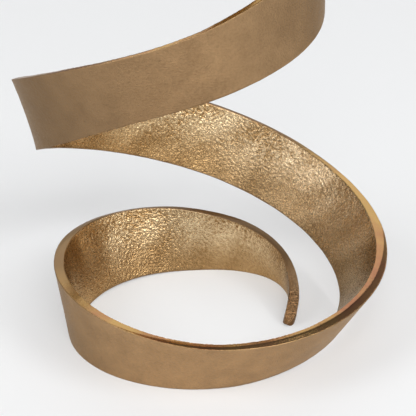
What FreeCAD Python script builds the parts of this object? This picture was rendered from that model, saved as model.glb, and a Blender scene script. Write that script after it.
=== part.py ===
import FreeCAD, Part
import math
import os

# Spiral candle holder. One cast ribbon stands on edge as a ring, climbs round the axis and lies down
# flat at the top, where a seat carries a drip pan and a cup for a taper candle.
# The origin is on the floor, on the axis of the candle. +Z is up, and the ring's tail points to +X.

# Ribbon: its section, the reach of its widest turn, and what is ground off where it stands
ribbon_width = 30.0
ribbon_thickness = 4.1
edge_chamfer = 0.4
tip_round = 0.8
coil_radius = 71.0
ground_depth = 0.5

# Seat: the round boss at the ribbon's end and the spot face under it
seat_height = 192.0
seat_radius = 17.0
seat_thickness = 5.0
seat_edge_chamfer = 0.8
spot_face_radius = 6.5

# Where the ribbon goes, station by station
# turn: turns from +X, counter-clockwise seen from above
# radius: the middle of the ribbon, as a share of the coil radius
# lift: its lowest edge, as a share of the climb from the floor to the seat
# lean: the top edge outward, or inward where it is negative, as a share of a right angle
# width and thickness: shares of the ribbon's own, because the casting was ground by hand
# The last row isn't built. It only aims the ribbon at the far side of the seat.
station_shares = [
    # turn, radius, lift, lean, width, thickness
    (-0.040, 0.514, 0.000, 0.16, 0.14, 0.86),
    (0.030, 0.535, 0.000, -0.02, 0.51, 0.76),
    (0.125, 0.569, 0.000, -0.16, 0.80, 0.76),
    (0.250, 0.585, 0.000, 0.03, 0.91, 0.95),
    (0.375, 0.681, 0.000, 0.24, 0.99, 1.08),
    (0.500, 0.757, 0.000, 0.14, 1.00, 1.15),
    (0.625, 0.860, 0.000, 0.12, 1.00, 0.90),
    (0.750, 0.933, 0.000, 0.32, 1.00, 0.78),
    (0.875, 0.918, 0.012, 0.39, 1.00, 1.07),
    (1.000, 0.919, 0.035, 0.33, 1.00, 1.24),
    (1.125, 0.941, 0.101, 0.33, 1.00, 0.92),
    (1.250, 0.982, 0.185, 0.18, 1.02, 0.95),
    (1.375, 1.000, 0.284, 0.10, 1.00, 0.95),
    (1.500, 0.946, 0.395, 0.19, 0.98, 0.86),
    (1.625, 0.829, 0.511, 0.26, 0.98, 0.58),
    (1.750, 0.722, 0.588, 0.18, 1.00, 0.80),
    (1.875, 0.660, 0.655, -0.02, 1.00, 0.90),
    (2.000, 0.630, 0.703, 0.00, 1.00, 0.95),
    (2.125, 0.626, 0.772, -0.15, 1.00, 1.00),
    (2.250, 0.612, 0.845, -0.33, 1.00, 1.00),
    (2.313, 0.565, 0.888, -0.50, 1.00, 1.00),
    (2.375, 0.433, 0.938, -0.72, 1.00, 1.00),
    (2.438, 0.233, 0.984, -0.91, 1.00, 1.00),
    (2.500, 0.000, 1.000, -1.00, 1.00, 1.00),
    (2.563, -0.233, 1.000, -1.00, 1.00, 1.00),
]
sections_per_span = 3
tangent_step_share = 1 / 2000

# Each broad side of the ribbon is made in three strips, between these shares of its half width
strip_shares = [1, 1 / 3, -1 / 3, -1]

# Drip pan: a flat disc of sheet with an upright rim
pan_radius = 27.0
pan_thickness = 1.2
pan_rim_height = 4.2
pan_bend_chamfer = 1.0

# Candle cup: turned, with a foot, a waist, a flared bowl under the bore's floor and a lip
candle_radius = 11.0
candle_clearance = 0.2
cup_wall = 2.2
cup_floor = 10.0
bore_depth = 20.0
cup_foot_radius = 12.5
cup_foot_height = 1.6
cup_neck_radius = 9.4
cup_waist_height = 3.4
cup_lip_reach = 1.3
cup_lip_height = 2.6
mouth_chamfer = 0.8
tapped_depth = 8.0

# Screw and lock washer
screw_radius = 2.5
screw_length = 14.0
screw_tip_chamfer = 0.6
screw_hole_clearance = 0.25
thread_clearance = 0.05
head_radius = 4.75
head_height = 3.2
head_chamfer = 1.2
slot_width = 1.2
slot_depth = 1.3
washer_radius = 4.6
washer_thickness = 1.2
washer_hole_clearance = 0.1
washer_gap = 1.0
washer_slant_degrees = 25.0

# Cuts run this much past what they cut, and no chamfer takes more than this share of its wall
overrun = 2.0
chamfer_limit_share = 0.45
radius_match_share = 1 / 1000

# Heights of the pieces that are stacked on the seat and hang under it
pan_height = seat_height + seat_thickness
cup_height = pan_height + pan_thickness
bore_height = cup_height + cup_floor
cup_top = bore_height + bore_depth
head_top = seat_height - washer_thickness
head_foot = head_top - head_height
screw_hole_radius = screw_radius + screw_hole_clearance

UP = FreeCAD.Vector(0, 0, 1)
AXIS_FOOT = FreeCAD.Vector(0, 0, 0)
TILT_AXIS = FreeCAD.Vector(1, 0, 0)


def on_axis(height):
    """The point of the axis at this height."""
    return FreeCAD.Vector(0, 0, height)


def beside_axis(point):
    """The place of a (radius, height) point of a turned outline."""
    return FreeCAD.Vector(point[0], 0, point[1])


def turned(outline):
    """The solid that a closed outline of (radius, height) points sweeps round the axis."""
    corners = [beside_axis(point) for point in outline + outline[:1]]
    return Part.Face(Part.makePolygon(corners)).revolve(AXIS_FOOT, UP, 360)


def drilled(radius, low, high):
    """A round cutter on the axis, from one height to the other."""
    return Part.makeCylinder(radius, high - low, on_axis(low))


def rims(shape, radius):
    """The circular edges of this radius."""
    circles = [edge for edge in shape.Edges if isinstance(edge.Curve, Part.Circle)]
    return [edge for edge in circles if abs(edge.Curve.Radius - radius) < radius * radius_match_share]


# The course of the ribbon
def follow(column):
    """A smooth function of the turn through one column of the stations."""
    points = [FreeCAD.Vector(row[column], row[0]) for row in station_shares]
    curve = Part.BSplineCurve()
    curve.interpolate(Points=points, Parameters=[row[0] for row in station_shares])
    return lambda turn: curve.value(turn).x


radius_at, lift_at, lean_at, width_at, thickness_at = [follow(column) for column in range(1, 6)]
climb = seat_height + (seat_thickness - ribbon_thickness) / 2
thinnest = ribbon_thickness * min(row[5] for row in station_shares)
chamfer = min(edge_chamfer, thinnest * chamfer_limit_share)


def lower_course(turn):
    """Where the ribbon is at this turn, at the height of its lowest edge."""
    angle = 2 * math.pi * turn
    radius = radius_at(turn) * coil_radius
    lift = max(0, lift_at(turn)) * climb
    return FreeCAD.Vector(radius * math.cos(angle), radius * math.sin(angle), lift)


def ribbon_corners(turn):
    """The corners of the ribbon's chamfered section at this turn, in order round it."""
    ahead = lower_course(turn + tangent_step_share)
    behind = lower_course(turn - tangent_step_share)
    along = (ahead - behind).normalize()
    outward = along.cross(UP).normalize()
    upright = outward.cross(along)
    lean = lean_at(turn) * math.pi / 2
    broad = upright * math.cos(lean) + outward * math.sin(lean)
    thin = outward * math.cos(lean) - upright * math.sin(lean)
    half_width = width_at(turn) * ribbon_width / 2
    half_thickness = thickness_at(turn) * ribbon_thickness / 2
    flat_width, flat_thickness = half_width - chamfer, half_thickness - chamfer
    outside = [(flat_width * share, half_thickness) for share in strip_shares]
    outside = [(half_width, flat_thickness)] + outside + [(-half_width, flat_thickness)]
    inside = [(width, -thickness) for width, thickness in reversed(outside)]
    offsets = [broad * width + thin * thickness for width, thickness in outside + inside]
    lowest = min(offset.z for offset in offsets)
    middle = lower_course(turn) - UP * (lowest + ground_depth)
    return [middle + offset for offset in offsets]


def make_band():
    """The ribbon itself: ruled faces between the rails of its corners, closed by a cap at each end."""
    turns = [station_shares[0][0]]
    for start, end in zip(station_shares[:-2], station_shares[1:-1]):
        step = (end[0] - start[0]) / sections_per_span
        turns += [start[0] + step * (number + 1) for number in range(sections_per_span)]
    sections = [ribbon_corners(turn) for turn in turns]
    rails = []
    for corner in range(len(sections[0])):
        rail = Part.BSplineCurve()
        rail.interpolate(Points=[section[corner] for section in sections], Parameters=turns)
        rails.append(rail.toShape())
    faces = [Part.makeRuledSurface(following, rail) for rail, following in zip(rails, rails[1:] + rails[:1])]
    faces += [Part.Face(Part.makePolygon(cap + cap[:1])) for cap in (sections[0], sections[-1])]
    shell = Part.Shell(faces)
    shell.sewShape()
    band = Part.Solid(shell)
    # The tail's end, the smallest face, loses its sharp edges
    tail_face = min(band.Faces, key=lambda face: face.Area)
    return band.makeFillet(min(tip_round, chamfer), tail_face.Edges)


def make_ribbon():
    """The cast ribbon with its ground foot, its seat, the spot face and the screw's hole."""
    band = make_band()
    # Ground flat along the lower edge of the ring, where it stands
    reach = coil_radius + ribbon_width
    below_floor = FreeCAD.Vector(-reach, -reach, -reach)
    band = band.cut(Part.makeBox(2 * reach, 2 * reach, reach, below_floor))
    seat = drilled(seat_radius, seat_height, pan_height)
    seat_chamfer = min(seat_edge_chamfer, seat_thickness * chamfer_limit_share)
    seat = seat.makeChamfer(seat_chamfer, rims(seat, seat_radius))
    spot_face = drilled(spot_face_radius, seat_height - overrun, seat_height)
    hole = drilled(screw_hole_radius, seat_height - overrun, pan_height + overrun)
    return band.fuse(seat).cut([spot_face, hole]).removeSplitter()


def make_pan():
    """The drip pan: a flat disc with an upright rim, chamfered under the bend between them."""
    top = pan_height + pan_thickness
    rim_top = pan_height + pan_rim_height
    rim_inside = pan_radius - pan_thickness
    return turned([
        (screw_hole_radius, pan_height),
        (pan_radius - pan_bend_chamfer, pan_height),
        (pan_radius, pan_height + pan_bend_chamfer),
        (pan_radius, rim_top),
        (rim_inside, rim_top),
        (rim_inside, top),
        (screw_hole_radius, top),
    ])


def make_cup():
    """The turned candle cup: foot, waist, bowl, straight wall and lip, with the bore and the tapped hole."""
    bore = candle_radius + candle_clearance
    wall = bore + cup_wall
    tapped = screw_radius + thread_clearance
    tapped_top = cup_height + tapped_depth
    foot_top = cup_height + cup_foot_height
    return turned([
        (0, tapped_top),
        (tapped, tapped_top),
        (tapped, cup_height),
        (cup_foot_radius, cup_height),
        (cup_foot_radius, foot_top),
        (cup_neck_radius, foot_top + cup_waist_height),
        (wall, bore_height),
        (wall, cup_top - cup_lip_height),
        (wall + cup_lip_reach, cup_top),
        (bore + mouth_chamfer, cup_top),
        (bore, cup_top - mouth_chamfer),
        (bore, bore_height),
        (0, bore_height),
    ])


def make_screw():
    """The slotted pan-head screw, head down, with a chamfered tip."""
    head = drilled(head_radius, head_foot, head_top)
    low_rims = [edge for edge in rims(head, head_radius) if edge.Curve.Center.z < (head_foot + head_top) / 2]
    head = head.makeChamfer(min(head_chamfer, head_height * chamfer_limit_share), low_rims)
    shank = drilled(screw_radius, head_top, head_top + screw_length)
    tip = [edge for edge in rims(shank, screw_radius) if edge.Curve.Center.z > head_top + screw_length / 2]
    shank = shank.makeChamfer(screw_tip_chamfer, tip)
    across = 2 * (head_radius + overrun)
    slot_corner = FreeCAD.Vector(-across / 2, -slot_width / 2, head_foot - overrun)
    slot = Part.makeBox(across, slot_width, slot_depth + overrun, slot_corner)
    return head.fuse(shank).cut(slot).removeSplitter()


def make_washer():
    """The spring washer, pressed flat, with its slanting split."""
    ring = drilled(washer_radius, head_top, seat_height)
    hole = drilled(screw_radius + washer_hole_clearance, head_top - overrun, seat_height + overrun)
    tall = washer_thickness + 2 * overrun
    middle = on_axis((head_top + seat_height) / 2)
    split_corner = middle - FreeCAD.Vector(0, washer_gap / 2, tall / 2)
    split = Part.makeBox(washer_radius + overrun, washer_gap, tall, split_corner)
    split.rotate(middle, TILT_AXIS, washer_slant_degrees)
    return ring.cut([hole, split])


pieces = {
    "spiral_ribbon": make_ribbon(),
    "drip_pan": make_pan(),
    "candle_cup": make_cup(),
    "cup_screw": make_screw(),
    "lock_washer": make_washer(),
}
os.makedirs("parts", exist_ok=True)
for name, shape in pieces.items():
    print(name, "valid", shape.isValid(), "solids", len(shape.Solids), "volume", round(shape.Volume))
    shape.exportStep("parts/" + name + ".step")
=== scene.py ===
# %% [markdown]
# # A spiral candle holder in cast brass
# The holder is one ribbon of cast brass. It stands on its edge as a ring, climbs round the axis and ends
# in a flat round seat. On the seat stand a drip pan and a cup for a taper candle, held by a screw from
# below. This lesson makes the ribbon, the pan and the cup as new meshes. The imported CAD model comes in
# first and stays as the frame: a new piece lies where its CAD solid lies, inside the CAD model's box.

import math

import bmesh
import bpy
import numpy as np
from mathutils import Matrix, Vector


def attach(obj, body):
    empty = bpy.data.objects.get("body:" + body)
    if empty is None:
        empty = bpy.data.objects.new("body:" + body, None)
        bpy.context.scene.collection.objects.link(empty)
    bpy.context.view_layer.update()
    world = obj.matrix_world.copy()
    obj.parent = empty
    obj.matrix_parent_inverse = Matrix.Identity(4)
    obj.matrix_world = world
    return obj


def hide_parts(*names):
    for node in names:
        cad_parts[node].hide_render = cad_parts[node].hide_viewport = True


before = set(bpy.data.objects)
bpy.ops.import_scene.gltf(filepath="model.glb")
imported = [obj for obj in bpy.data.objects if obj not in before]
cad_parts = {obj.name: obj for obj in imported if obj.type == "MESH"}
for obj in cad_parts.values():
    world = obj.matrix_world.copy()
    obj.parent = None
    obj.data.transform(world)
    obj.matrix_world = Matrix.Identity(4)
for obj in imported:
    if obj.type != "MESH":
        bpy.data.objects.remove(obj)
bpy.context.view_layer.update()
MM = 0.001


print("The CAD nodes:", sorted(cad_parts))

# %% [markdown]
# ## The camera
# The photograph looks down on the ring from the front, at about 25 degrees, and its upper edge cuts the
# ribbon off after two turns. A camera can be placed by eye, or fitted until the ring's edges fall on those
# of the picture. Here it is fitted, because a camera that is a little wrong would hide mistakes in the
# ribbon. A near camera and a far one fit alike, so the distance is a choice, with a long lens to match.

# %% Place the camera
PICTURE_PIXELS = 416
FOCAL_PIXELS = 1750
FILM_WIDTH = 36
NEAREST_SEEN, FARTHEST_SEEN = 0.05, 50
VIEW_ELEVATION = math.radians(25)
VIEW_DISTANCE = 700 * MM
aim = Vector((2.5, 0, 47.9)) * MM

lens = bpy.data.cameras.new("photo_lens")
lens.sensor_width = FILM_WIDTH
lens.lens = FOCAL_PIXELS * FILM_WIDTH / PICTURE_PIXELS
lens.clip_start, lens.clip_end = NEAREST_SEEN, FARTHEST_SEEN
camera = bpy.data.objects.new("photo_camera", lens)
bpy.context.scene.collection.objects.link(camera)
towards_camera = Vector((0, -math.cos(VIEW_ELEVATION), math.sin(VIEW_ELEVATION)))
camera.location = aim + towards_camera * VIEW_DISTANCE
camera.rotation_euler = towards_camera.to_track_quat("Z", "Y").to_euler()
bpy.context.scene.camera = camera
print("Camera at", [round(value, 3) for value in camera.location], "with a lens of", round(lens.lens, 1), "mm")

# %% [markdown]
# ## Helpers for materials
# A material is a net of nodes. Naming every node and link takes many lines, so one helper adds a node,
# sets its choices, and fills each input with a number, a colour or another node's output. Two more start
# a material and do arithmetic. A trial material shows that they work.

# %% Make helpers for node trees
def new_material(name):
    """An empty material, its node tree, and the output node's surface input."""
    material = bpy.data.materials.new(name)
    material.use_nodes = True
    tree = material.node_tree
    tree.nodes.clear()
    return material, tree, tree.nodes.new("ShaderNodeOutputMaterial").inputs["Surface"]


def add_node(tree, kind, inputs, **choices):
    """Adds a node, and fills its inputs, by name or number, with values or other nodes' outputs."""
    made = tree.nodes.new(kind)
    for name, value in choices.items():
        setattr(made, name, value)
    for name, value in inputs.items():
        if isinstance(value, bpy.types.NodeSocket):
            tree.links.new(value, made.inputs[name])
        else:
            made.inputs[name].default_value = value
    return made


def math_node(tree, operation, first, second=0.0):
    return add_node(tree, "ShaderNodeMath", {0: first, 1: second}, operation=operation).outputs[0]


trial, tree, surface = new_material("trial")
math_node(tree, "ADD", 1.0, 1.0)
print("A trial material holds", [node.name for node in tree.nodes])
bpy.data.materials.remove(trial)

# %% [markdown]
# ## The floor and the light
# The real holder stands in a white studio: the ground shows as one flat pale grey, with faint soft
# shadows beside the metal. A lit floor alone would shade off towards its edges. A glowing one would lose
# the shadow. So the floor does both: about three fifths of what the camera sees is lit paint, and the
# rest is a glow. The paint is a little cool, which makes up for the warm light that the brass throws on
# it. The metal mirrors the same pale ground, which gives brass its middle tone.

# %% Build the floor
PALE = (0.863, 0.863, 0.863, 1)
COOL_PAINT = (0.842, 0.854, 0.868, 1)
FLOOR_REACH = 6.0
FLOOR_GLOW_SHARE = 0.38

floor_mesh = bpy.data.meshes.new("studio_floor")
corners = [(x * FLOOR_REACH, y * FLOOR_REACH, 0) for x, y in ((-1, -1), (1, -1), (1, 1), (-1, 1))]
floor_mesh.from_pydata(corners, [], [(0, 1, 2, 3)])
studio_floor = bpy.data.objects.new("studio_floor", floor_mesh)
bpy.context.scene.collection.objects.link(studio_floor)

floor_paint, tree, surface = new_material("studio_floor_paint")
rays = tree.nodes.new("ShaderNodeLightPath").outputs
mirrored = math_node(tree, "MAXIMUM", rays["Is Glossy Ray"], rays["Is Transmission Ray"])
seen = math_node(tree, "MAXIMUM", rays["Is Camera Ray"], mirrored)
paint = add_node(tree, "ShaderNodeBsdfDiffuse", {"Color": COOL_PAINT}).outputs[0]
glow = add_node(tree, "ShaderNodeEmission", {"Color": PALE, "Strength": 1.0}).outputs[0]
glow_share = math_node(tree, "MULTIPLY", seen, FLOOR_GLOW_SHARE)
tree.links.new(add_node(tree, "ShaderNodeMixShader", {0: glow_share, 1: paint, 2: glow}).outputs[0], surface)
floor_mesh.materials.append(floor_paint)
print("The floor reaches", FLOOR_REACH, "m each way")

# %% [markdown]
# Polished metal shows the room, so the room matters as much as the metal. The ground edge of the real
# ribbon is bright where it mirrors the walls and dark where it looks straight up: pale walls, a dim
# ceiling, and large soft lamps between them. A picture of a studio could stand for the room, but a world
# that fades from the walls to the ceiling needs none, and each of its levels can be set alone. Two more
# helpers do the fading: one spreads a value to another range, and one mixes two numbers by a mask.

# %% Build the room
WHITE = (1, 1, 1, 1)
FRONT_WALL_LIGHT, BACK_WALL_LIGHT, CEILING_LIGHT = 0.90, 0.40, 0.12
# How far a direction points to the front, to the back or up where the light is all of that side's
WALL_TURN, CEILING_FROM = 0.8, 0.75


def spread(tree, value, low, high, to_low=0.0, to_high=1.0):
    """Spreads a value between low and high to another range, and clips what is outside it."""
    limits = {0: value, 1: low, 2: high, 3: to_low, 4: to_high}
    return add_node(tree, "ShaderNodeMapRange", limits, clamp=True).outputs[0]


def mix_numbers(tree, mask, below, above):
    return add_node(tree, "ShaderNodeMix", {0: mask, 2: below, 3: above}, data_type="FLOAT").outputs[0]


world = bpy.data.worlds.new("studio_room")
bpy.context.scene.world = world
world.use_nodes = True
tree = world.node_tree
tree.nodes.clear()
direction = tree.nodes.new("ShaderNodeTexCoord").outputs["Generated"]
direction = add_node(tree, "ShaderNodeSeparateXYZ", {0: direction}).outputs
wall_light = spread(tree, direction["Y"], -WALL_TURN, WALL_TURN, FRONT_WALL_LIGHT, BACK_WALL_LIGHT)
room_light = mix_numbers(tree, spread(tree, direction["Z"], 0.0, CEILING_FROM), wall_light, CEILING_LIGHT)
room = add_node(tree, "ShaderNodeBackground", {"Color": WHITE, "Strength": room_light}).outputs[0]
tree.links.new(room, tree.nodes.new("ShaderNodeOutputWorld").inputs["Surface"])
print("The room's light: front", FRONT_WALL_LIGHT, "back", BACK_WALL_LIGHT, "ceiling", CEILING_LIGHT)

# %% [markdown]
# Three square lamps stand left, right and in front of the holder, and the grains of the casting catch
# them. A wide, dim panel behind it is what the edges mirror. Small lamps would be simpler to place, but
# they leave hard white points on metal. Large ones give the broad, soft lights of the photograph.

# %% Set up the lamps
SOFTBOX_DISTANCE = 2.4
LAMP_AIM = Vector((0, 0, 0.1))


def softbox(name, azimuth, elevation, size, brightness):
    """A square lamp with a soft front, aimed at the middle of the holder. The angles are in degrees."""
    lamp = bpy.data.lights.new(name, "AREA")
    lamp.shape, lamp.size = "SQUARE", size
    lamp.energy = brightness * math.pi * size ** 2
    turned, raised = math.radians(azimuth), math.radians(elevation)
    towards_lamp = Vector((
        math.cos(raised) * math.cos(turned), math.cos(raised) * math.sin(turned), math.sin(raised)))
    stand = bpy.data.objects.new(name, lamp)
    stand.location = LAMP_AIM + towards_lamp * SOFTBOX_DISTANCE
    stand.rotation_euler = towards_lamp.to_track_quat("Z", "Y").to_euler()
    stand.visible_camera = False
    bpy.context.scene.collection.objects.link(stand)
    print(name, "of", round(lamp.energy, 1), "W at", [round(value, 2) for value in stand.location])


softbox("left_softbox", azimuth=208, elevation=40, size=1.2, brightness=4.4)
softbox("right_softbox", azimuth=-36, elevation=42, size=1.2, brightness=5.7)
softbox("front_softbox", azimuth=-84, elevation=40, size=1.2, brightness=6.2)
softbox("back_panel", azimuth=88, elevation=38, size=2.4, brightness=0.95)
bpy.context.scene.view_settings.view_transform = "Standard"

# %% [markdown]
# ## The course of the ribbon
# The founder's pattern for such a holder can be a flat strip, bent by hand until it looks right. The CAD
# model says where it goes in a table of stations, and this lesson repeats that table. A row gives the
# turn, and then shares: how far out the ribbon is, how high its lower edge is, how much it leans, how wide
# it is and how thick. A Blender curve could follow that path and tilt, but it scales width and thickness
# together. A spline through each column keeps them apart, and it bends like the strip, without a corner.

# %% Write down the ribbon's stations
station_shares = np.array([
    # turn, radius, lift, lean, width, thickness
    (-0.040, 0.514, 0.000, 0.16, 0.14, 0.86),
    (0.030, 0.535, 0.000, -0.02, 0.51, 0.76),
    (0.125, 0.569, 0.000, -0.16, 0.80, 0.76),
    (0.250, 0.585, 0.000, 0.03, 0.91, 0.95),
    (0.375, 0.681, 0.000, 0.24, 0.99, 1.08),
    (0.500, 0.757, 0.000, 0.14, 1.00, 1.15),
    (0.625, 0.860, 0.000, 0.12, 1.00, 0.90),
    (0.750, 0.933, 0.000, 0.32, 1.00, 0.78),
    (0.875, 0.918, 0.012, 0.39, 1.00, 1.07),
    (1.000, 0.919, 0.035, 0.33, 1.00, 1.24),
    (1.125, 0.941, 0.101, 0.33, 1.00, 0.92),
    (1.250, 0.982, 0.185, 0.18, 1.02, 0.95),
    (1.375, 1.000, 0.284, 0.10, 1.00, 0.95),
    (1.500, 0.946, 0.395, 0.19, 0.98, 0.86),
    (1.625, 0.829, 0.511, 0.26, 0.98, 0.58),
    (1.750, 0.722, 0.588, 0.18, 1.00, 0.80),
    (1.875, 0.660, 0.655, -0.02, 1.00, 0.90),
    (2.000, 0.630, 0.703, 0.00, 1.00, 0.95),
    (2.125, 0.626, 0.772, -0.15, 1.00, 1.00),
    (2.250, 0.612, 0.845, -0.33, 1.00, 1.00),
    (2.313, 0.565, 0.888, -0.50, 1.00, 1.00),
    (2.375, 0.433, 0.938, -0.72, 1.00, 1.00),
    (2.438, 0.233, 0.984, -0.91, 1.00, 1.00),
    (2.500, 0.000, 1.000, -1.00, 1.00, 1.00),
    (2.563, -0.233, 1.000, -1.00, 1.00, 1.00),
])


def bent_lath(knots, values):
    """A function through the values at the knots, as smooth as a lath that is bent round pegs there."""
    steps, rises = np.diff(knots), np.diff(values)
    last = len(knots) - 1
    matrix, wanted = np.eye(last + 1), np.zeros(last + 1)
    for row in range(1, last):
        matrix[row, row - 1:row + 2] = (
            1 / steps[row - 1], 2 / steps[row - 1] + 2 / steps[row], 1 / steps[row])
        wanted[row] = 3 * (rises[row - 1] / steps[row - 1] ** 2 + rises[row] / steps[row] ** 2)
    # At both ends the slope is that of a cubic through the four nearest pegs
    for end, near in ((0, slice(0, 4)), (last, slice(last - 3, last + 1))):
        cubic = np.polyfit(knots[near] - knots[end], values[near], 3)
        wanted[end] = cubic[2]
    slopes = np.linalg.solve(matrix, wanted)

    def value_at(turn):
        span = np.clip(np.searchsorted(knots, turn) - 1, 0, last - 1)
        share = (turn - knots[span]) / steps[span]
        rest = 1 - share
        return (values[span] * (1 + 2 * share) * rest ** 2 + values[span + 1] * (1 + 2 * rest) * share ** 2
                + slopes[span] * steps[span] * share * rest ** 2
                - slopes[span + 1] * steps[span] * rest * share ** 2)

    return value_at


turn_knots = station_shares[:, 0]
radius_at, lift_at, lean_at, width_at, thickness_at = [
    bent_lath(turn_knots, station_shares[:, column]) for column in range(1, 6)]
print("The ribbon has", len(station_shares), "stations, from turn", turn_knots[0], "to", turn_knots[-1])

# %% [markdown]
# A section of the ribbon is its oblong outline at one turn. It stands square to the course, leans by the
# station's lean, and is set so that its lowest corner touches the course's height. The real ring is
# ground flat where it stands. A plane could cut it, but here the sections sit half a millimetre too low on
# purpose, and what lies under the floor becomes the ground foot.

# %% Set up sections along the ribbon
RIBBON_WIDTH = 30.0
RIBBON_THICKNESS = 4.1
CAD_CHAMFER = 0.4
COIL_RADIUS = 71.0
GROUND_DEPTH = 0.5
CLIMB = 192.45
TANGENT_STEP = 1 / 2000


def lower_course(turns):
    """Where the ribbon is at these turns, at the height of its lowest edge, in millimetres."""
    radius = radius_at(turns) * COIL_RADIUS
    lift = np.maximum(0, lift_at(turns)) * CLIMB
    angle = 2 * math.pi * turns
    return np.stack([radius * np.cos(angle), radius * np.sin(angle), lift], axis=1)


def unit(vectors):
    return vectors / np.linalg.norm(vectors, axis=1, keepdims=True)


class Sections:
    """The middle of the ribbon at each turn, and the directions of its width and of its thickness."""

    def __init__(self, turns):
        self.along = unit(lower_course(turns + TANGENT_STEP) - lower_course(turns - TANGENT_STEP))
        outward = unit(np.cross(self.along, (0, 0, 1)))
        upright = np.cross(outward, self.along)
        lean = (lean_at(turns) * math.pi / 2)[:, None]
        self.broad = upright * np.cos(lean) + outward * np.sin(lean)
        self.thin = outward * np.cos(lean) - upright * np.sin(lean)
        self.half_width = width_at(turns) * RIBBON_WIDTH / 2
        self.half_thickness = thickness_at(turns) * RIBBON_THICKNESS / 2
        lowest = np.full(len(turns), np.inf)
        for cut_width, cut_thickness in ((CAD_CHAMFER, 0), (0, CAD_CHAMFER)):
            for width_sign in (-1, 1):
                for thickness_sign in (-1, 1):
                    height = (self.broad[:, 2] * (self.half_width - cut_width) * width_sign
                              + self.thin[:, 2] * (self.half_thickness - cut_thickness) * thickness_sign)
                    lowest = np.minimum(lowest, height)
        self.middle = lower_course(turns)
        self.middle[:, 2] -= lowest + GROUND_DEPTH


print("The coil is widest", round(float(COIL_RADIUS * station_shares[:, 1].max()), 1), "mm from the axis")

# %% [markdown]
# Equal steps of turn would lie far apart where the coil is wide and close together at the seat. So the
# course is measured first in many fine steps, and the sections are set at equal distances along it, so
# close that the mesh can hold the sand's grain.

# %% Space the sections evenly
SECTION_STEP = 0.38
FINE_STEPS = 20001

first_turn, last_turn = turn_knots[0], turn_knots[-2]
fine_turns = np.linspace(first_turn, last_turn, FINE_STEPS)
fine_course = Sections(fine_turns).middle
run = np.concatenate([[0], np.cumsum(np.linalg.norm(np.diff(fine_course, axis=0), axis=1))])
section_count = int(run[-1] / SECTION_STEP)
turns = np.interp(np.linspace(0, run[-1], section_count + 1), run, fine_turns)
along_mm = np.interp(turns, fine_turns, run)
sections = Sections(turns)
print("The ribbon is", round(run[-1]), "mm long and gets", section_count, "sections")

# %% [markdown]
# ## The relief of the faces
# The real faces are nowhere even: sand, file and hand left their marks. A bump map could fake all of them,
# but light catches real hollows better, and they also show along the edge. So the relief is moved into the
# mesh. It is made from noise on a grid, with one random slope for each corner of a cell, blended between.
# The slopes come from a fixed seed, so that the holder is the same on every run.

# %% Make random hills
SEED = 20
NOISE_CELLS = 256
NOISE_GAIN = 1.5


def slope_noise(across, along, seed):
    """Random hills between about -1 and 1, one to a unit, the same on every run."""
    slopes = np.random.default_rng(seed).uniform(0, 2 * math.pi, (NOISE_CELLS, NOISE_CELLS))
    cell = [np.floor(across).astype(int), np.floor(along).astype(int)]
    share = [across - cell[0], along - cell[1]]
    ease = [part * part * part * (part * (part * 6 - 15) + 10) for part in share]
    total = 0
    for side in (0, 1):
        for end in (0, 1):
            slope = slopes[(cell[0] + side) % NOISE_CELLS, (cell[1] + end) % NOISE_CELLS]
            weight = (ease[0] if side else 1 - ease[0]) * (ease[1] if end else 1 - ease[1])
            total = total + weight * ((share[0] - side) * np.cos(slope) + (share[1] - end) * np.sin(slope))
    return total * NOISE_GAIN


def hills(across, along, size, seed):
    """Random hills of one size, which is given across and along the ribbon in millimetres."""
    return slope_noise(across / size[0], along / size[1], seed)


sample_across, sample_along = np.meshgrid(np.linspace(-15, 15, 61), np.linspace(0, 100, 201))
sample = slope_noise(sample_across, sample_along, SEED)
print("The random hills reach from", sample.min().round(2), "to", sample.max().round(2))

# %% [markdown]
# Inside the coil the brass is as it left the sand: grain under a millimetre across, strokes, and crinkles
# where the sand slipped, like coarse leather. One noise of one size would look as even as cloth, so each
# of the three has its own size, and patches say which way the strokes run and where crinkles show. Broad,
# shallow hills under them give the soft light and dark zones of the real casting.

# %% Make the relief of the sand
# Sizes across and along the ribbon, and depths, in millimetres
BEND_SIZE, BEND_REACH = (7, 9), 2.0
GRAIN_SIZE, GRAIN_DEPTH = (0.8, 0.8), 0.08
STROKE_SIZE, STROKE_DEPTH, STROKE_PATCHES = (2.1, 0.85), 0.115, (15, 19)
CRINKLE_SIZE, CRINKLE_DEPTH, CRINKLE_PATCHES = (3.0, 1.6), 0.13, (16, 22)
CRINKLE_BEND, CRINKLE_SHARPNESS = 0.4, 3
BROAD_SIZE, BROAD_DEPTH = (17, 12), 0.13
SAND_STANDS_BACK = 0.30
# How far the relief slants, as a share of the way along or across
SLANT, BACK_SLANT = 0.3, 0.35
# How strong the relief is at the middle of the ribbon and how it changes towards the edges
MIDDLE_STRENGTH, STRENGTH_WIDTH, STRENGTH_RANGE = 0.8, 24, (0.5, 1.25)


def patches(across, along, size, contrast, middle, seed):
    """A mask between 0 and 1 in random patches of this size."""
    return np.clip(hills(across, along, size, seed) * contrast + middle, 0, 1)


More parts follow.
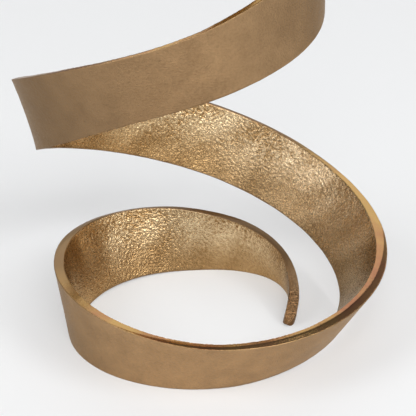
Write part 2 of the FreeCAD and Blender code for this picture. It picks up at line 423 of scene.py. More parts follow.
def sand_relief(across, along, coarse=1.0):
    """How far the sand-cast face stands back from its highest points, in millimetres, as 0 or less."""
    bend = hills(across, along, BEND_SIZE, SEED) * BEND_REACH
    grain = hills(across, along, GRAIN_SIZE, SEED + 1) * GRAIN_DEPTH
    # Strokes run across the ribbon in some patches and along it in others
    strokes_up = hills(across + bend, along + across * SLANT - bend, STROKE_SIZE, SEED + 2)
    strokes_on = hills(across - along * BACK_SLANT + bend, along - bend, STROKE_SIZE[::-1], SEED + 9)
    turned_on = patches(across, along, STROKE_PATCHES, contrast=1.6, middle=0.5, seed=SEED + 12)
    strokes = (strokes_up * (1 - turned_on) + strokes_on * turned_on) * STROKE_DEPTH
    # A crinkle is the thin line where a slower noise passes through zero
    crinkle = np.abs(slope_noise(
        (across + along * SLANT) / CRINKLE_SIZE[0] + bend * CRINKLE_BEND,
        (along + bend) / CRINKLE_SIZE[1], SEED + 3))
    crinkled_here = patches(across, along, CRINKLE_PATCHES, contrast=1.2, middle=0.55, seed=SEED + 4)
    creases = np.clip(1 - crinkle * CRINKLE_SHARPNESS, 0, 1) ** 2 * crinkled_here * CRINKLE_DEPTH
    # The sand packed closer towards the lower edge, so the relief is shallower there
    strength = np.clip(MIDDLE_STRENGTH + across / STRENGTH_WIDTH, *STRENGTH_RANGE)
    broad = hills(across, along + across * SLANT, BROAD_SIZE, SEED + 5) * BROAD_DEPTH
    return np.minimum(0, (grain + strokes - creases) * coarse * strength + broad - SAND_STANDS_BACK)


sample = sand_relief(sample_across, sample_along)
print("The sand face stands back", round(-sample.max(), 2), "to", round(-sample.min(), 2), "mm")

# %% [markdown]
# The outside of the real ribbon was filed and rubbed to a satin, and its edges were ground by hand. A flat
# face would show the lamps as clean shapes, as no filed face does. So the satin gets slow, shallow waves
# and a trace of the grain, the ground edge wavers, and small chips run along some borders.

# %% Make the relief of the filed faces and edges
FILE_WAVE_SIZE, FILE_WAVE_DEPTH = (18, 25), 0.12
TRACE_SIZE, DENT_SIZE, TRACE_DEPTH = (1.2, 1.2), (3.1, 3.1), 0.03
SATIN_STANDS_BACK, SATIN_LEAST = 0.09, 0.01
WOBBLE_LENGTH, WOBBLE_DEPTH, WOBBLE_MIDDLE = 9, 0.08, 0.05
CHIP_LENGTH, CHIP_LEAST, CHIP_DEPTH = 1.7, 0.35, 0.5
CHIP_PATCH_LENGTH, CHIP_PATCH_CONTRAST = 30, 1.5


def satin_relief(across, along):
    """The filed face: slow, shallow waves that the file left, and a trace of the grain."""
    waves = hills(across, along, FILE_WAVE_SIZE, SEED + 6) * FILE_WAVE_DEPTH
    grain = hills(across, along, TRACE_SIZE, SEED + 7) * TRACE_DEPTH
    dents = hills(across, along, DENT_SIZE, SEED + 8) * TRACE_DEPTH
    return np.minimum(-SATIN_LEAST, waves + grain + dents - SATIN_STANDS_BACK)


def line_noise(along, length, seed):
    """Random hills along a line: the middle of one row of the noise's cells."""
    return slope_noise(np.full_like(along, 0.5), along / length, seed)


def hand_wobble(along, seed):
    """How far a ground edge stands back along the ribbon, because it was ground by hand."""
    return np.clip(WOBBLE_MIDDLE + line_noise(along, WOBBLE_LENGTH, seed) * WOBBLE_DEPTH, 0, 1)


def border_chips(along, seed):
    """How deep the small chips are that the casting got along one of its borders."""
    chips = np.clip(line_noise(along, CHIP_LENGTH, seed + 1) - CHIP_LEAST, 0, 1) * CHIP_DEPTH
    return chips * np.clip(line_noise(along, CHIP_PATCH_LENGTH, seed + 2) * CHIP_PATCH_CONTRAST, 0, 1)


sample = satin_relief(sample_across, sample_along)
print("The satin face stands back", round(-sample.max(), 2), "to", round(-sample.min(), 2), "mm")

# %% [markdown]
# ## The work of the hand, and painted shade
# The founder ground each edge in two passes, so it falls to both sides from a faint ridge that wanders
# from border to border. No two hand's breadths of the real ribbon are alike: here the edge is polished
# gold, there the heat of grinding brought out copper. The same table also paints shade into the colour:
# on the back and left of the coil, which face away from the lamps and mirror the dim back of the room,
# the edge is painted dull and the outside brown, and parts of the sand face are painted darker and
# greyer where they mirror the brass across the coil. Noise alone would put these places anywhere. A
# table puts them where the photograph shows them.

# %% Write down how the casting was worked
handwork = np.array([
    # turn; ridge between the two passes, -1 at the inner border and 1 at the outer; fall inward from it
    # and fall outward, in millimetres; polish of the edge, partly painted shade; painted shade brown of the
    # outside and of the dull edge; coarseness of the sand face; painted shade that makes the sand face
    # darker and greyer; copper in the polished edge
    (0.00, 0.0, 0.10, 0.10, 0.10, 1.0, 1.0, 0.05, 0.0),
    (0.30, 0.0, 0.10, 0.10, 0.05, 1.0, 1.1, 0.15, 0.0),
    (0.40, 0.0, 0.10, 0.10, 0.15, 1.0, 1.0, 0.15, 0.0),
    (0.47, 0.0, 0.10, 0.10, 0.40, 1.0, 0.5, 0.05, 0.0),
    (0.54, 0.6, 0.12, 0.06, 0.35, 1.0, 0.5, 0.05, 0.0),
    (0.60, 0.9, 0.12, 0.03, 0.80, 0.5, 0.6, 0.10, 0.0),
    (0.67, 0.8, 0.20, 0.05, 1.00, 0.1, 0.8, 0.50, 0.3),
    (0.72, 0.1, 0.42, 0.08, 1.00, 0.0, 0.8, 0.80, 0.5),
    (0.80, 0.0, 0.48, 0.08, 1.00, 0.0, 0.8, 0.80, 0.5),
    (0.90, -0.2, 0.45, 0.12, 1.00, 0.1, 0.7, 0.80, 1.0),
    (0.97, 0.1, 0.60, 0.12, 1.00, 0.2, 0.6, 0.80, 0.7),
    (1.03, 0.9, 0.95, 0.05, 1.00, 0.3, 0.6, 0.75, 0.0),
    (1.11, 0.9, 0.90, 0.05, 0.95, 0.4, 0.8, 0.85, 0.0),
    (1.18, 0.7, 0.45, 0.06, 0.50, 0.8, 1.1, 0.70, 0.4),
    (1.25, 0.6, 0.30, 0.06, 0.15, 1.0, 1.3, 0.10, 0.5),
    (1.32, 0.6, 0.25, 0.06, 0.10, 1.0, 1.4, 0.00, 0.5),
    (1.45, 0.6, 0.20, 0.05, 0.20, 1.2, 1.3, 0.00, 0.5),
    (1.56, 0.8, 0.40, 0.03, 0.80, 1.1, 0.8, 0.30, 0.8),
    (1.66, 0.9, 0.70, 0.03, 1.00, 0.5, 0.7, 0.50, 0.6),
    (1.76, 0.9, 1.05, 0.03, 1.00, 0.2, 0.7, 0.50, 0.0),
    (1.82, 0.9, 0.55, 0.03, 1.00, 0.5, 0.7, 0.50, 0.0),
    (1.87, 0.8, 0.20, 0.03, 0.90, 0.6, 0.7, 0.50, 0.0),
    (1.92, 0.5, 0.40, 0.05, 0.80, 0.7, 0.7, 0.50, 0.2),
    (2.50, 0.0, 0.15, 0.15, 0.60, 0.6, 0.8, 0.40, 0.3),
])
# These columns paint shade too: the edge's polish partly, the brown and the sand face's paleness wholly.
ridge, inward_fall, outward_fall, polish_and_shade, brown, coarse, sand_shade, copper = [
    np.interp(turns, handwork[:, 0], handwork[:, column]) for column in range(1, handwork.shape[1])]
print("The edge falls inward by", inward_fall.min().round(2), "to", inward_fall.max().round(2), "mm")

# %% [markdown]
# ## The ribbon's skin
# Round the section go four strips of columns: the ground top edge, the satin outside, the lower edge and
# the sand-cast inside. The borders between them are crisp, with the smallest of roundings, and the last
# stretch at the tail was never ground, so there the edge is as grainy as the inside.

# %% Work out the borders of the four strips
STRIP_COLUMNS = (("top", 14), ("outside", 44), ("bottom", 14), ("inside", 78))
BORDER_ROUND = 0.15
UNGROUND_TAIL, RAW_AT_TIP = 20.0, 1.4
TAIL_SWELL = 0.45
MOST_FALL_SHARE = 0.5
LEAST_HALF_WIDTH = 0.2

columns = [(strip, number / count) for strip, count in STRIP_COLUMNS for number in range(count)]
near_tail = np.clip(RAW_AT_TIP - along_mm / UNGROUND_TAIL, 0, 1)
half_thickness = sections.half_thickness * (1 + TAIL_SWELL * near_tail)
# The sign is 1 at the top edge and -1 at the bottom. The side is 1 outside and -1 inside.
worn_half = {1: sections.half_width - hand_wobble(along_mm, SEED + 10),
             -1: sections.half_width - hand_wobble(along_mm, SEED + 20)}
chips = {(sign, side): border_chips(along_mm, SEED + 40 + 10 * sign + 5 * side)
         for sign in (1, -1) for side in (1, -1)}


def edge_fall(place):
    """How far the ground edge lies under its ridge at this place across the thickness."""
    inward = np.clip((ridge - place) / (1 + ridge), 0, 1) * inward_fall
    outward = np.clip((place - ridge) / (1 - ridge), 0, 1) * outward_fall
    return np.minimum(inward + outward, worn_half[1] * MOST_FALL_SHARE)


def flat_border(sign, side):
    """How far from the middle the broad side of the ribbon ends."""
    return np.maximum(LEAST_HALF_WIDTH, worn_half[sign] - chips[sign, side] - BORDER_ROUND - edge_fall(side))


print("Round each section go", len(columns), "columns, and the deepest chip is",
      max(chip.max() for chip in chips.values()).round(2), "mm")

# %% [markdown]
# Each column is one line of points along the whole ribbon. It could be made section by section, but then
# the relief would be worked out a third of a million times for one point each. By columns it takes a few
# seconds. Every point also carries marks for the material, such as how high its relief is, how well the
# edge was polished, and how much painted shade darkens or browns it.

# %% Lay the columns of the skin
RAW_GRAIN_SHARE = 0.9
CHIPPED_FROM = 0.6
BORDER_MARK, BORDER_FADE = 0.1, 4

mark_names = ("inside", "edge", "relief", "polish_and_shade", "brown", "upper", "raw", "copper")
skin_lines, marks = [], {name: [] for name in mark_names}
for strip, share in columns:
    if strip in ("top", "bottom"):
        sign = 1 if strip == "top" else -1
        place = sign * math.sin((share - 0.5) * math.pi)
        side = -1 if place < 0 else 1
        border = sign * flat_border(sign, side)
        relief = sand_relief(border, along_mm, coarse) if place < 0 else satin_relief(border, along_mm)
        into_round = np.clip(1 + (abs(place) - 1) * half_thickness / BORDER_ROUND, 0, 1)
        rounding = BORDER_ROUND * (1 - np.sqrt(1 - into_round ** 2))
        cast_grain = -RAW_GRAIN_SHARE * sand_relief(place * half_thickness, along_mm) * near_tail
        chipped = chips[sign, side] * np.clip((abs(place) - CHIPPED_FROM) / (1 - CHIPPED_FROM), 0, 1)
        worn = worn_half[sign] - edge_fall(place) - rounding - cast_grain - chipped
        across = sign * np.maximum(LEAST_HALF_WIDTH, worn)
        thickness = place * (half_thickness + relief)
        # The first column of an edge is shared with the side next to it, so its marks lie between
        inside = np.maximum(0.0 if place > -1 else 0.5, near_tail)
        edge = (1.0 - near_tail) * min(1, BORDER_MARK + (1 - place) * BORDER_FADE)
    elif strip == "outside":
        across = flat_border(1, 1) * (1 - share) - flat_border(-1, 1) * share
        relief = satin_relief(across, along_mm)
        thickness = half_thickness + relief
        inside, edge = 0.0, 0.0 if share else BORDER_MARK
    else:
        across = flat_border(1, -1) * share - flat_border(-1, -1) * (1 - share)
        relief = sand_relief(across, along_mm, coarse)
        thickness = -half_thickness - relief
        inside, edge = 1.0, 0.0
    skin_lines.append(sections.middle + sections.broad * across[:, None] + sections.thin * thickness[:, None])
    # On the sand face the polish mark holds its painted shade; the brown mark is painted shade, at the tail partly
    # the tail's own tone.
    column_marks = {
        "inside": inside, "edge": edge, "relief": relief, "polish_and_shade": sand_shade if strip == "inside" else polish_and_shade,
        "brown": np.maximum(brown * (1 - inside), near_tail),
        "upper": 0.5 + across / (2 * sections.half_width), "raw": near_tail, "copper": copper}
    for name, values in column_marks.items():
        marks[name].append(np.broadcast_to(values, len(turns)))

points = np.stack(skin_lines, axis=1)
print("The skin has", points.shape[0], "by", points.shape[1], "points")

# %% [markdown]
# The tail of the real casting is a rough, round tongue that comes down to the floor. A separate cap would
# leave a seam. So the first sections themselves are drawn out along the course and shrunk towards a low
# middle, as a quarter circle does it. Last, what lies under the floor is raised to it, all along the
# ring, and that makes the narrow ground foot.

# %% Draw out the tail and grind the foot
TAIL_ROUND = 3.2
TAIL_REACH = 2.2
TIP_HEIGHT = 0.5
LEAST_CLOSING = 0.02

from_tip = np.clip(along_mm / TAIL_ROUND, 0, 1)
closing = np.sqrt(np.clip(1 - (1 - from_tip) ** 2, LEAST_CLOSING, 1))
tip_middle = points.mean(axis=1, keepdims=True) * (1, 1, TIP_HEIGHT)
points = tip_middle + (points - tip_middle) * closing[:, None, None]
drawn_out = TAIL_REACH * np.clip(1 - along_mm / UNGROUND_TAIL, 0, 1) ** 2
points = points - (sections.along * drawn_out[:, None])[:, None, :]
print("Points raised to the floor:", int((points[:, :, 2] < 0).sum()))
points[:, :, 2] = np.maximum(0, points[:, :, 2])

# %% [markdown]
# Each section is now a ring of points, and rings are joined with quads. The mesh is filled from lists and
# arrays at one go, because adding so many points one by one is slow. The order of a quad's corners says
# which way it faces. A closed mesh that faces outward has a positive volume, so the volume is a quick test
# of both. A boolean with a mesh that is inside out would cut where it should add.

# %% Join the rings into a mesh
def mesh_from_arrays(name, vertices, faces, numbers):
    """A mesh object from arrays, with one number for each vertex under each name."""
    mesh = bpy.data.meshes.new(name)
    mesh.from_pydata((vertices * MM).tolist(), [], faces)
    for number_name, values in numbers.items():
        values = np.asarray(values, dtype=np.float32)
        mesh.attributes.new(number_name, "FLOAT", "POINT").data.foreach_set("value", values)
    mesh.update()
    piece = bpy.data.objects.new(name, mesh)
    bpy.context.scene.collection.objects.link(piece)
    return piece


def ring_faces(ring_count, ring_size):
    """Quads between neighbouring rings, and a cap on the first and the last, all facing outward."""
    quads = []
    for ring in range(ring_count - 1):
        here, there = ring * ring_size, (ring + 1) * ring_size
        for number in range(ring_size):
            beside = (number + 1) % ring_size
            quads.append((here + number, here + beside, there + beside, there + number))
    first = list(reversed(range(ring_size)))
    last = list(range((ring_count - 1) * ring_size, ring_count * ring_size))
    return quads + [first, last]


def measure(piece):
    """Prints the piece's volume and how many of its edges are open."""
    solid = bmesh.new()
    solid.from_mesh(piece.data)
    volume = round(solid.calc_volume(signed=True) * 1e6, 2)
    open_edges = sum(not edge.is_manifold for edge in solid.edges)
    print(piece.name, "has", volume, "cm3,", len(solid.faces), "faces,", open_edges, "open edges")
    solid.free()


ribbon = mesh_from_arrays("cast_ribbon", points.reshape(-1, 3), ring_faces(len(points), len(columns)), {
    name: np.stack(values, axis=1).ravel() for name, values in marks.items()})
measure(ribbon)

# %% [markdown]
# ## Turned pieces
# The seat, the drip pan and the candle cup are round about the axis, so each of them is an outline that
# goes round it. A turned edge is always broken, and the line of light along it makes it look made. A bevel
# modifier would give all edges one width. Here each corner of the outline has its own small radius.

# %% Round the corners of an outline
ARC_STEPS = 5
ARC_REACH_SHARE = 0.45
NEARLY_STRAIGHT = 1.5


def rounded_outline(corners):
    """The closed outline of (radius, height, rounding) corners, with an arc in place of each corner."""
    outline = []
    for number, (radius, height, rounding) in enumerate(corners):
        corner = np.array([radius, height])
        before = np.array(corners[number - 1][:2]) - corner
        after = np.array(corners[(number + 1) % len(corners)][:2]) - corner
        reach = min(np.linalg.norm(before), np.linalg.norm(after)) * ARC_REACH_SHARE
        before, after = before / np.linalg.norm(before), after / np.linalg.norm(after)
        half_angle = math.acos(np.clip(before @ after, -1, 1)) / 2
        if rounding == 0 or half_angle > NEARLY_STRAIGHT:
            outline.append(corner)
            continue
        tangent = min(rounding / math.tan(half_angle), reach)
        start, end = corner + before * tangent, corner + after * tangent
        for step in range(ARC_STEPS + 1):
            share = step / ARC_STEPS
            outline.append((1 - share) ** 2 * start + 2 * share * (1 - share) * corner + share ** 2 * end)
    return outline


print("A rounded square has", len(rounded_outline([(1, 0, 0.1), (2, 0, 0.1), (2, 1, 0.1), (1, 1, 0.1)])), "points")

# %% [markdown]
# A screw modifier could sweep the outline, but its points on the axis then have to be merged. This lathe
# makes one row of vertices for each point of the outline, and a single vertex on the axis, so the mesh is
# closed. The first piece on it is the boss that the ribbon's end swells into. Its marks say that it is
# satin, with a little painted shade brown under the pan.

# %% Turn the seat's disc
LATHE_SEGMENTS = 160
ON_AXIS = 1e-6
TURNED_CREASE = 40
SEAT_HEIGHT, SEAT_RADIUS, SEAT_THICKNESS, SEAT_ROUND = 192.0, 17.0, 5.0, 1.0
# A little painted shade brown, for the seat under the pan.
SEAT_MARKS = {"upper": 0.5, "brown": 0.3}


def soften(piece, crease_degrees):
    """Smooth shading, with a sharp line where two faces meet at more than the crease angle."""
    piece.data.shade_smooth()
    piece.data.set_sharp_from_angle(angle=math.radians(crease_degrees))


def lathe(name, corners, marks_all_over=None):
    """A closed turned mesh, with the same marks all over. A point on the axis becomes one vertex."""
    vertices, rows = [], []
    for radius, height in rounded_outline(corners):
        if radius < ON_AXIS:
            rows.append([len(vertices)] * LATHE_SEGMENTS)
            vertices.append((0, 0, height))
            continue
        rows.append(list(range(len(vertices), len(vertices) + LATHE_SEGMENTS)))
        for number in range(LATHE_SEGMENTS):
            angle = 2 * math.pi * number / LATHE_SEGMENTS
            vertices.append((radius * math.cos(angle), radius * math.sin(angle), height))
    faces = []
    for row, following in zip(rows, rows[1:] + rows[:1]):
        for number in range(LATHE_SEGMENTS):
            beside = (number + 1) % LATHE_SEGMENTS
            face = [row[number], row[beside], following[beside], following[number]]
            face = [corner for place, corner in enumerate(face) if corner != face[place - 1]]
            if len(set(face)) > 2:
                faces.append(face)
    piece = mesh_from_arrays(name, np.array(vertices, dtype=float), faces, {
        mark: np.full(len(vertices), value) for mark, value in (marks_all_over or {}).items()})
    soften(piece, TURNED_CREASE)
    measure(piece)
    return piece


def disc(name, radius, low, high, rounding=0.0, marks_all_over=None):
    outline = [(0, low, 0), (radius, low, rounding), (radius, high, rounding), (0, high, 0)]
    return lathe(name, outline, marks_all_over)


seat_top = SEAT_HEIGHT + SEAT_THICKNESS
seat_disc = disc("seat_disc", SEAT_RADIUS, SEAT_HEIGHT, seat_top, SEAT_ROUND, SEAT_MARKS)

# %% [markdown]
# ## The seat
# The seat is one casting with the ribbon, faced on both sides, so that the pan sits flat above and the
# washer below. The disc could just stick in the band, but then the band's skin would run on inside it. A
# boolean unites the two, and two more cut the spot face and the screw's hole: one closed skin, as the real
# casting has.

# %% Unite the seat with the ribbon and drill it
SPOT_FACE_RADIUS, SCREW_HOLE_RADIUS = 6.5, 2.75
CUT_DEPTH = 3.0
CAST_CREASE = 50
cut_from = SEAT_HEIGHT - CUT_DEPTH


def join_or_cut(piece, tool, operation):
    """Unites the piece with the tool, or cuts the tool out of it. The tool is used up."""
    step = piece.modifiers.new(operation, "BOOLEAN")
    step.operation, step.solver, step.object = operation, "MANIFOLD", tool
    evaluated = piece.evaluated_get(bpy.context.evaluated_depsgraph_get())
    made = bpy.data.meshes.new_from_object(evaluated)
    piece.modifiers.remove(step)
    piece.data = made
    bpy.data.objects.remove(tool)


join_or_cut(ribbon, seat_disc, "UNION")
join_or_cut(ribbon, disc("spot_face_cutter", SPOT_FACE_RADIUS, cut_from, SEAT_HEIGHT), "DIFFERENCE")
join_or_cut(ribbon, disc("hole_drill", SCREW_HOLE_RADIUS, cut_from, seat_top + CUT_DEPTH), "DIFFERENCE")
soften(ribbon, CAST_CREASE)
measure(ribbon)

# %% [markdown]
# ## The drip pan
# The pan catches the wax: a thin disc with an upright rim. The photograph ends below it, so it has a usual
# size. It could be a dished sheet with a thickness modifier, but the rim is rounder at its foot than at
# its top, so the outline is written down corner by corner, going round once: out, up, and back inside.

# %% Turn the drip pan
PAN_RADIUS, PAN_THICKNESS, PAN_RIM_HEIGHT = 27.0, 1.2, 4.2
pan_inside = PAN_RADIUS - PAN_THICKNESS
pan_rim = seat_top + PAN_RIM_HEIGHT
cup_base = seat_top + PAN_THICKNESS
pan = lathe("turned_drip_pan", [
    (SCREW_HOLE_RADIUS, seat_top, 0.1),
    (PAN_RADIUS, seat_top, 1.3),
    (PAN_RADIUS, pan_rim, 0.5),
    (pan_inside, pan_rim, 0.5),
    (pan_inside, cup_base, 0.6),
    (SCREW_HOLE_RADIUS, cup_base, 0.1),
])

# %% [markdown]
# ## The candle cup
# The cup is turned from bar, with a foot, a waist, a flared bowl, a straight wall and a lip. Its bore takes
# a common taper candle, and the screw ends in a blind hole in its floor. A stack of cylinders would show a
# seam at each step, so it is one outline too. The screw and the washer below the seat are good as they
# are in the CAD model, and stay.

# %% Turn the candle cup
FOOT_RADIUS, FOOT_HEIGHT, WAIST_RADIUS, WAIST_HEIGHT = 12.5, 1.6, 9.4, 5.0
WALL_RADIUS, LIP_RADIUS, LIP_DEPTH = 13.4, 14.7, 2.6
BORE_RADIUS, BORE_MOUTH_RADIUS, MOUTH_DEPTH = 11.2, 12.0, 0.8
THREAD_RADIUS, THREAD_DEPTH = 2.55, 8.0
CUP_FLOOR_THICKNESS, CUP_HEIGHT = 10.0, 30.0
bore_floor, cup_top = cup_base + CUP_FLOOR_THICKNESS, cup_base + CUP_HEIGHT
cup = lathe("turned_candle_cup", [
    (0, cup_base + THREAD_DEPTH, 0),
    (THREAD_RADIUS, cup_base + THREAD_DEPTH, 0.2),
    (THREAD_RADIUS, cup_base, 0.2),
    (FOOT_RADIUS, cup_base, 0.3),
    (FOOT_RADIUS, cup_base + FOOT_HEIGHT, 0.5),
    (WAIST_RADIUS, cup_base + WAIST_HEIGHT, 2.5),
    (WALL_RADIUS, bore_floor, 1.5),
    (WALL_RADIUS, cup_top - LIP_DEPTH, 1.5),
    (LIP_RADIUS, cup_top, 0.5),
    (BORE_MOUTH_RADIUS, cup_top, 0.3),
    (BORE_RADIUS, cup_top - MOUTH_DEPTH, 0.3),
    (BORE_RADIUS, bore_floor, 0.5),
    (0, bore_floor, 0),
])

# %% [markdown]
# ## The finish of the cast brass
# Brass takes its colour from what it mirrors. Under a pale studio it is a quiet tan. In hollows, where
# it mirrors itself, it turns to brown and orange without any paint. A picture of brass, wrapped round,
# would freeze those reflections. So the metal's colour is mixed from the marks that the mesh carries
# and from random clouds, and the helpers for that come first. Some of those marks also paint shade and
# highlight into the colour.

# %% Read the marks and make random clouds
def mix_colours(tree, mask, below, above):
    """The colour below where the mask is 0, and the colour above where it is 1."""
    colours = {0: mask, 6: below, 7: above}
    return add_node(tree, "ShaderNodeMix", colours, data_type="RGBA").outputs[2]


def noise(tree, where, size, detail=3.0, roughness=0.55):
    """Clouds of random value between 0 and 1, about as large as the size, in metres."""
    settings = {"Vector": where, "Scale": 1 / size, "Detail": detail, "Roughness": roughness}
    return add_node(tree, "ShaderNodeTexNoise", settings).outputs[0]


def object_place(tree):
    """Where a point lies on the piece, in metres."""
    return tree.nodes.new("ShaderNodeTexCoord").outputs["Object"]


def attribute(tree, name):
    """A number that each vertex of the mesh carries under this name."""
    return add_node(tree, "ShaderNodeAttribute", {}, attribute_name=name).outputs["Fac"]


cast_brass, tree, surface = new_material("cast_brass_finish")
where = object_place(tree)
mark = {name: attribute(tree, name) for name in mark_names}
mottle = noise(tree, where, size=9 * MM)
speck = noise(tree, where, size=1.0 * MM, detail=2)
print("The cast brass reads the marks", ", ".join(mark))

# %% [markdown]
# On the real casting the sand face is darker in its hollows and paler on its high grains. Towards the
# upper edge its grains are painted paler and whiter, a painted highlight. The satin outside is clouded,
# with fine specks. A hand-painted picture wouldn't follow a changed relief, so the relief mark itself
# chooses between the low and the high colour.

# %% Colour the sand face and the satin face
# Each colour as cast, and as painted shade, darker and greyer
LOW_SAND = (0.37, 0.215, 0.080, 1), (0.26, 0.170, 0.080, 1)
HIGHLIT_UPPER_GRAIN = (0.90, 0.700, 0.420, 1), (0.62, 0.505, 0.350, 1)
LOWER_GRAIN = (0.72, 0.470, 0.215, 1), (0.47, 0.335, 0.190, 1)
DARK_SATIN, LIGHT_SATIN = (0.35, 0.212, 0.100, 1), (0.54, 0.338, 0.166, 1)
HOLLOW, GRAIN_TOP = -0.43, -0.13
HIGHLIGHT_RISE_MOTTLE, HIGHLIGHT_RISE_RANGE = 0.4, (0.3, 0.85)
CLOUD_MOTTLE, CLOUD_RANGE = 0.8, (0.6, 1.2)

high = spread(tree, mark["relief"], HOLLOW, GRAIN_TOP)
# Painted shade: the polish mark darkens and greys each sand colour where the sand face mirrors the brass across
# the coil.
low_sand, upper_grain, lower_grain = [
    mix_colours(tree, mark["polish_and_shade"], *pair) for pair in (LOW_SAND, HIGHLIT_UPPER_GRAIN, LOWER_GRAIN)]
upper_sand, lower_sand = [mix_colours(tree, high, low_sand, grain) for grain in (upper_grain, lower_grain)]
# Painted highlight: the sand is mixed paler and whiter towards the upper edge.
highlight_rise = math_node(tree, "ADD", mark["upper"], math_node(tree, "MULTIPLY", mottle, HIGHLIGHT_RISE_MOTTLE))
sand_colour = mix_colours(tree, spread(tree, highlight_rise, *HIGHLIGHT_RISE_RANGE), lower_sand, upper_sand)
clouds = math_node(tree, "ADD", speck, math_node(tree, "MULTIPLY", mottle, CLOUD_MOTTLE))
satin_colour = mix_colours(tree, spread(tree, clouds, *CLOUD_RANGE), DARK_SATIN, LIGHT_SATIN)
side_colour = mix_colours(tree, mark["inside"], satin_colour, sand_colour)
print("Nodes for the two faces:", len(tree.nodes))

# %% [markdown]
# The polished edge is gold, with copper where grinding made it hot. Painted shade makes the dull edge
# brown, together with parts of the outside on the back and left of the coil, a line along the ribbon's
# lowest border, and the raw tail, whose dark brown is partly its own tone and partly painted shade. Two
# materials could split edge and faces, but the border would be a hard seam. Marks fade one into another.

# %% Colour the edges, and paint shade in brown
# The dull edge colour and the two browns below are painted shade; the raw tail's brown is partly its own tone.
GOLD_EDGE, COPPER_EDGE, DULL_SHADED_EDGE = (0.55, 0.345, 0.125, 1), (0.44, 0.200, 0.105, 1), (0.37, 0.230, 0.125, 1)
SHADE_BROWN, RAW_AND_SHADED_TAIL = (0.13, 0.078, 0.038, 1), (0.18, 0.085, 0.028, 1)
COPPER_PULL, COPPER_RANGE = 0.35, (0.55, 0.85)
SHADE_LINE_WIDTH, SHADE_LINE_DEPTH = 0.06, 0.7
BROWN_SHARE, RAW_AND_SHADE_SHARE = 0.65, 0.85

stain = noise(tree, where, size=16 * MM, detail=2)
coppery = math_node(tree, "ADD", stain, math_node(tree, "MULTIPLY", mark["copper"], COPPER_PULL))
bright_edge = mix_colours(tree, spread(tree, coppery, *COPPER_RANGE), GOLD_EDGE, COPPER_EDGE)
# Painted shade: where the polish mark is low, the edge takes the dull, darker colour.
edge_colour = mix_colours(tree, mark["polish_and_shade"], DULL_SHADED_EDGE, bright_edge)
brass_colour = mix_colours(tree, mark["edge"], side_colour, edge_colour)
# Painted shade: a darker line along the ribbon's lowest border.
lowest_line_shade = math_node(tree, "MULTIPLY", spread(tree, mark["upper"], SHADE_LINE_WIDTH, 0.0), SHADE_LINE_DEPTH)
kept_bright = math_node(tree, "MULTIPLY", mark["edge"], mark["polish_and_shade"])
can_brown = math_node(tree, "SUBTRACT", 1.0, kept_bright)
# Painted shade: brown on the back and left of the coil, along the lowest line and at the tail.
brown_shade_share = math_node(tree, "MULTIPLY", math_node(tree, "MAXIMUM", mark["brown"], lowest_line_shade), can_brown)
brown_colour = mix_colours(tree, BROWN_SHARE, brass_colour, SHADE_BROWN)
brass_colour = mix_colours(tree, brown_shade_share, brass_colour, brown_colour)
# The raw tail's dark brown: partly its own tone, partly painted shade where it mirrors the dim ceiling.
brass_colour = mix_colours(tree, math_node(tree, "MULTIPLY", mark["raw"], RAW_AND_SHADE_SHARE), brass_colour, RAW_AND_SHADED_TAIL)
print("Nodes for the whole colour:", len(tree.nodes))

# %% [markdown]
# Roughness tells polish from satin: the edge mirrors sharply where it was polished, the satin scatters,
# and the tops of the sand grains shine. The finest grain is too small for the mesh, so it is a bump, deep
# at the raw tail and almost nothing on the ground edge. A thin lacquer over it all gives the small white
# glints.

# %% Give the cast brass its gloss and its finest grain
GRAZING_TINT = (0.7, 0.62, 0.52, 1)
LACQUER_WEIGHT, LACQUER_ROUGHNESS, LACQUER_IOR = 0.2, 0.2, 1.6
NOISE_RANGE = (0.3, 0.7)
SAND_ROUGHNESS, SATIN_ROUGHNESS = (0.17, 0.30), (0.33, 0.56)
DULL_ROUGHNESS, POLISHED_ROUGHNESS = 0.48, 0.17
FACE_BUMP, EDGE_BUMP, TAIL_BUMP = 0.8, 0.06, 1.5


def metal(tree, surface, colour, roughness, normal, lacquer):
    shader = add_node(tree, "ShaderNodeBsdfPrincipled", {
        "Metallic": 1.0, "Base Color": colour, "Roughness": roughness, "Specular Tint": GRAZING_TINT,
        "Coat Weight": lacquer, "Coat Roughness": LACQUER_ROUGHNESS, "Coat IOR": LACQUER_IOR,
        "Normal": normal, "Coat Normal": normal})
    tree.links.new(shader.outputs[0], surface)


def bump(tree, height, strength, distance):
    settings = {"Height": height, "Strength": strength, "Distance": distance}
    return add_node(tree, "ShaderNodeBump", settings).outputs[0]


sand_rough = spread(tree, speck, *NOISE_RANGE, *SAND_ROUGHNESS)
satin_rough = spread(tree, speck, *NOISE_RANGE, *SATIN_ROUGHNESS)
edge_rough = mix_numbers(tree, mark["polish_and_shade"], DULL_ROUGHNESS, POLISHED_ROUGHNESS)
side_rough = mix_numbers(tree, mark["inside"], satin_rough, sand_rough)
brass_rough = mix_numbers(tree, mark["edge"], side_rough, edge_rough)
fine_grain = noise(tree, where, size=0.7 * MM, detail=2)
worked_bump = mix_numbers(tree, mark["edge"], FACE_BUMP, EDGE_BUMP)
grain_height = math_node(tree, "MULTIPLY", fine_grain, mix_numbers(tree, mark["raw"], worked_bump, TAIL_BUMP))
grain_bump = bump(tree, grain_height, strength=1.0, distance=0.40 * MM)
metal(tree, surface, brass_colour, brass_rough, grain_bump, LACQUER_WEIGHT)
print(cast_brass.name, "has", len(tree.nodes), "nodes")

# %% [markdown]
# ## The finish of the turned brass
# The pan and the cup carry the fine rings of the turning tool. A tool that is fed along the work leaves
# one groove for each turn, so the rings depend on nothing but the distance along its way: out from the
# axis and up. A wave would be too regular for a hand lathe. Noise along that one line is right.

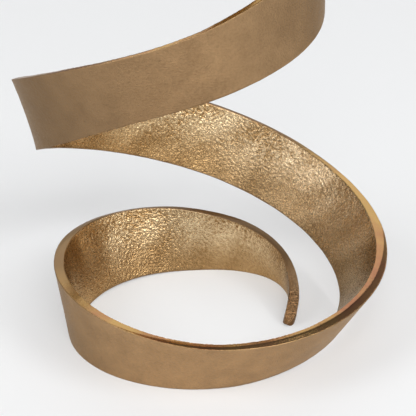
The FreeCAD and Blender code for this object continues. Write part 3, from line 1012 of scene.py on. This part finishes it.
# %% Mix the turned brass
TOOL_FEED = 0.35 * MM
DARK_TURNED, LIGHT_TURNED = (0.46, 0.300, 0.135, 1), (0.58, 0.400, 0.195, 1)
MOTTLE_SHARE, UNEVEN_RANGE, TURNED_ROUGHNESS = 0.6, (0.5, 1.1), (0.24, 0.40)


def turning_rings(tree, where):
    """A value between 0 and 1 that changes only outwards and upwards, as the turning tool's grooves do."""
    place = add_node(tree, "ShaderNodeSeparateXYZ", {0: where}).outputs
    squares = [math_node(tree, "POWER", place[axis], 2.0) for axis in ("X", "Y")]
    from_axis = math_node(tree, "SQRT", math_node(tree, "ADD", *squares))
    tool_way = math_node(tree, "ADD", from_axis, place["Z"])
    settings = {"W": tool_way, "Scale": 1 / TOOL_FEED, "Detail": 1.0}
    return add_node(tree, "ShaderNodeTexNoise", settings, noise_dimensions="1D").outputs[0]


turned_brass, tree, surface = new_material("turned_brass_finish")
where = object_place(tree)
mottle = noise(tree, where, size=7 * MM)
grooves = turning_rings(tree, where)
turned_colour = mix_colours(tree, mottle, DARK_TURNED, LIGHT_TURNED)
uneven = math_node(tree, "ADD", grooves, math_node(tree, "MULTIPLY", mottle, MOTTLE_SHARE))
turned_rough = spread(tree, uneven, *UNEVEN_RANGE, *TURNED_ROUGHNESS)
groove_bump = bump(tree, grooves, strength=0.6, distance=0.04 * MM)
metal(tree, surface, turned_colour, turned_rough, groove_bump, LACQUER_WEIGHT)
print(turned_brass.name, "has", len(tree.nodes), "nodes")

# %% [markdown]
# ## The finish of the steel
# The screw and its washer are zinc plated, which looks like a thin frost: grey, a little blue, with
# mottled gloss. One even grey would look like plastic.

# %% Mix the plated steel
DARK_ZINC, LIGHT_ZINC = (0.42, 0.42, 0.40, 1), (0.60, 0.61, 0.62, 1)
ZINC_ROUGHNESS = (0.26, 0.42)

steel, tree, surface = new_material("zinc_steel_finish")
where = object_place(tree)
mottle = noise(tree, where, size=2 * MM)
frost = noise(tree, where, size=0.3 * MM, detail=1)
steel_colour = mix_colours(tree, mottle, DARK_ZINC, LIGHT_ZINC)
steel_rough = spread(tree, mottle, *NOISE_RANGE, *ZINC_ROUGHNESS)
frost_bump = bump(tree, frost, strength=0.4, distance=0.05 * MM)
metal(tree, surface, steel_colour, steel_rough, frost_bump, lacquer=0.0)
print(steel.name, "has", len(tree.nodes), "nodes")

# %% [markdown]
# ## Give the pieces their finishes
# Each piece gets its finish. Each new piece is tied to the root body, and the CAD node that it stands
# for is hidden.

screw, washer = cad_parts["cup_screw"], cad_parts["lock_washer"]
for piece, finish in (
        (ribbon, cast_brass), (pan, turned_brass), (cup, turned_brass), (screw, steel), (washer, steel)):
    piece.data.materials.clear()
    piece.data.materials.append(finish)

for piece, node_name, slot_name in (
        (ribbon, "spiral_ribbon", "cast_brass"),
        (pan, "drip_pan", "turned_brass"),
        (cup, "candle_cup", "turned_brass")):
    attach(piece, "root")
    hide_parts(node_name)
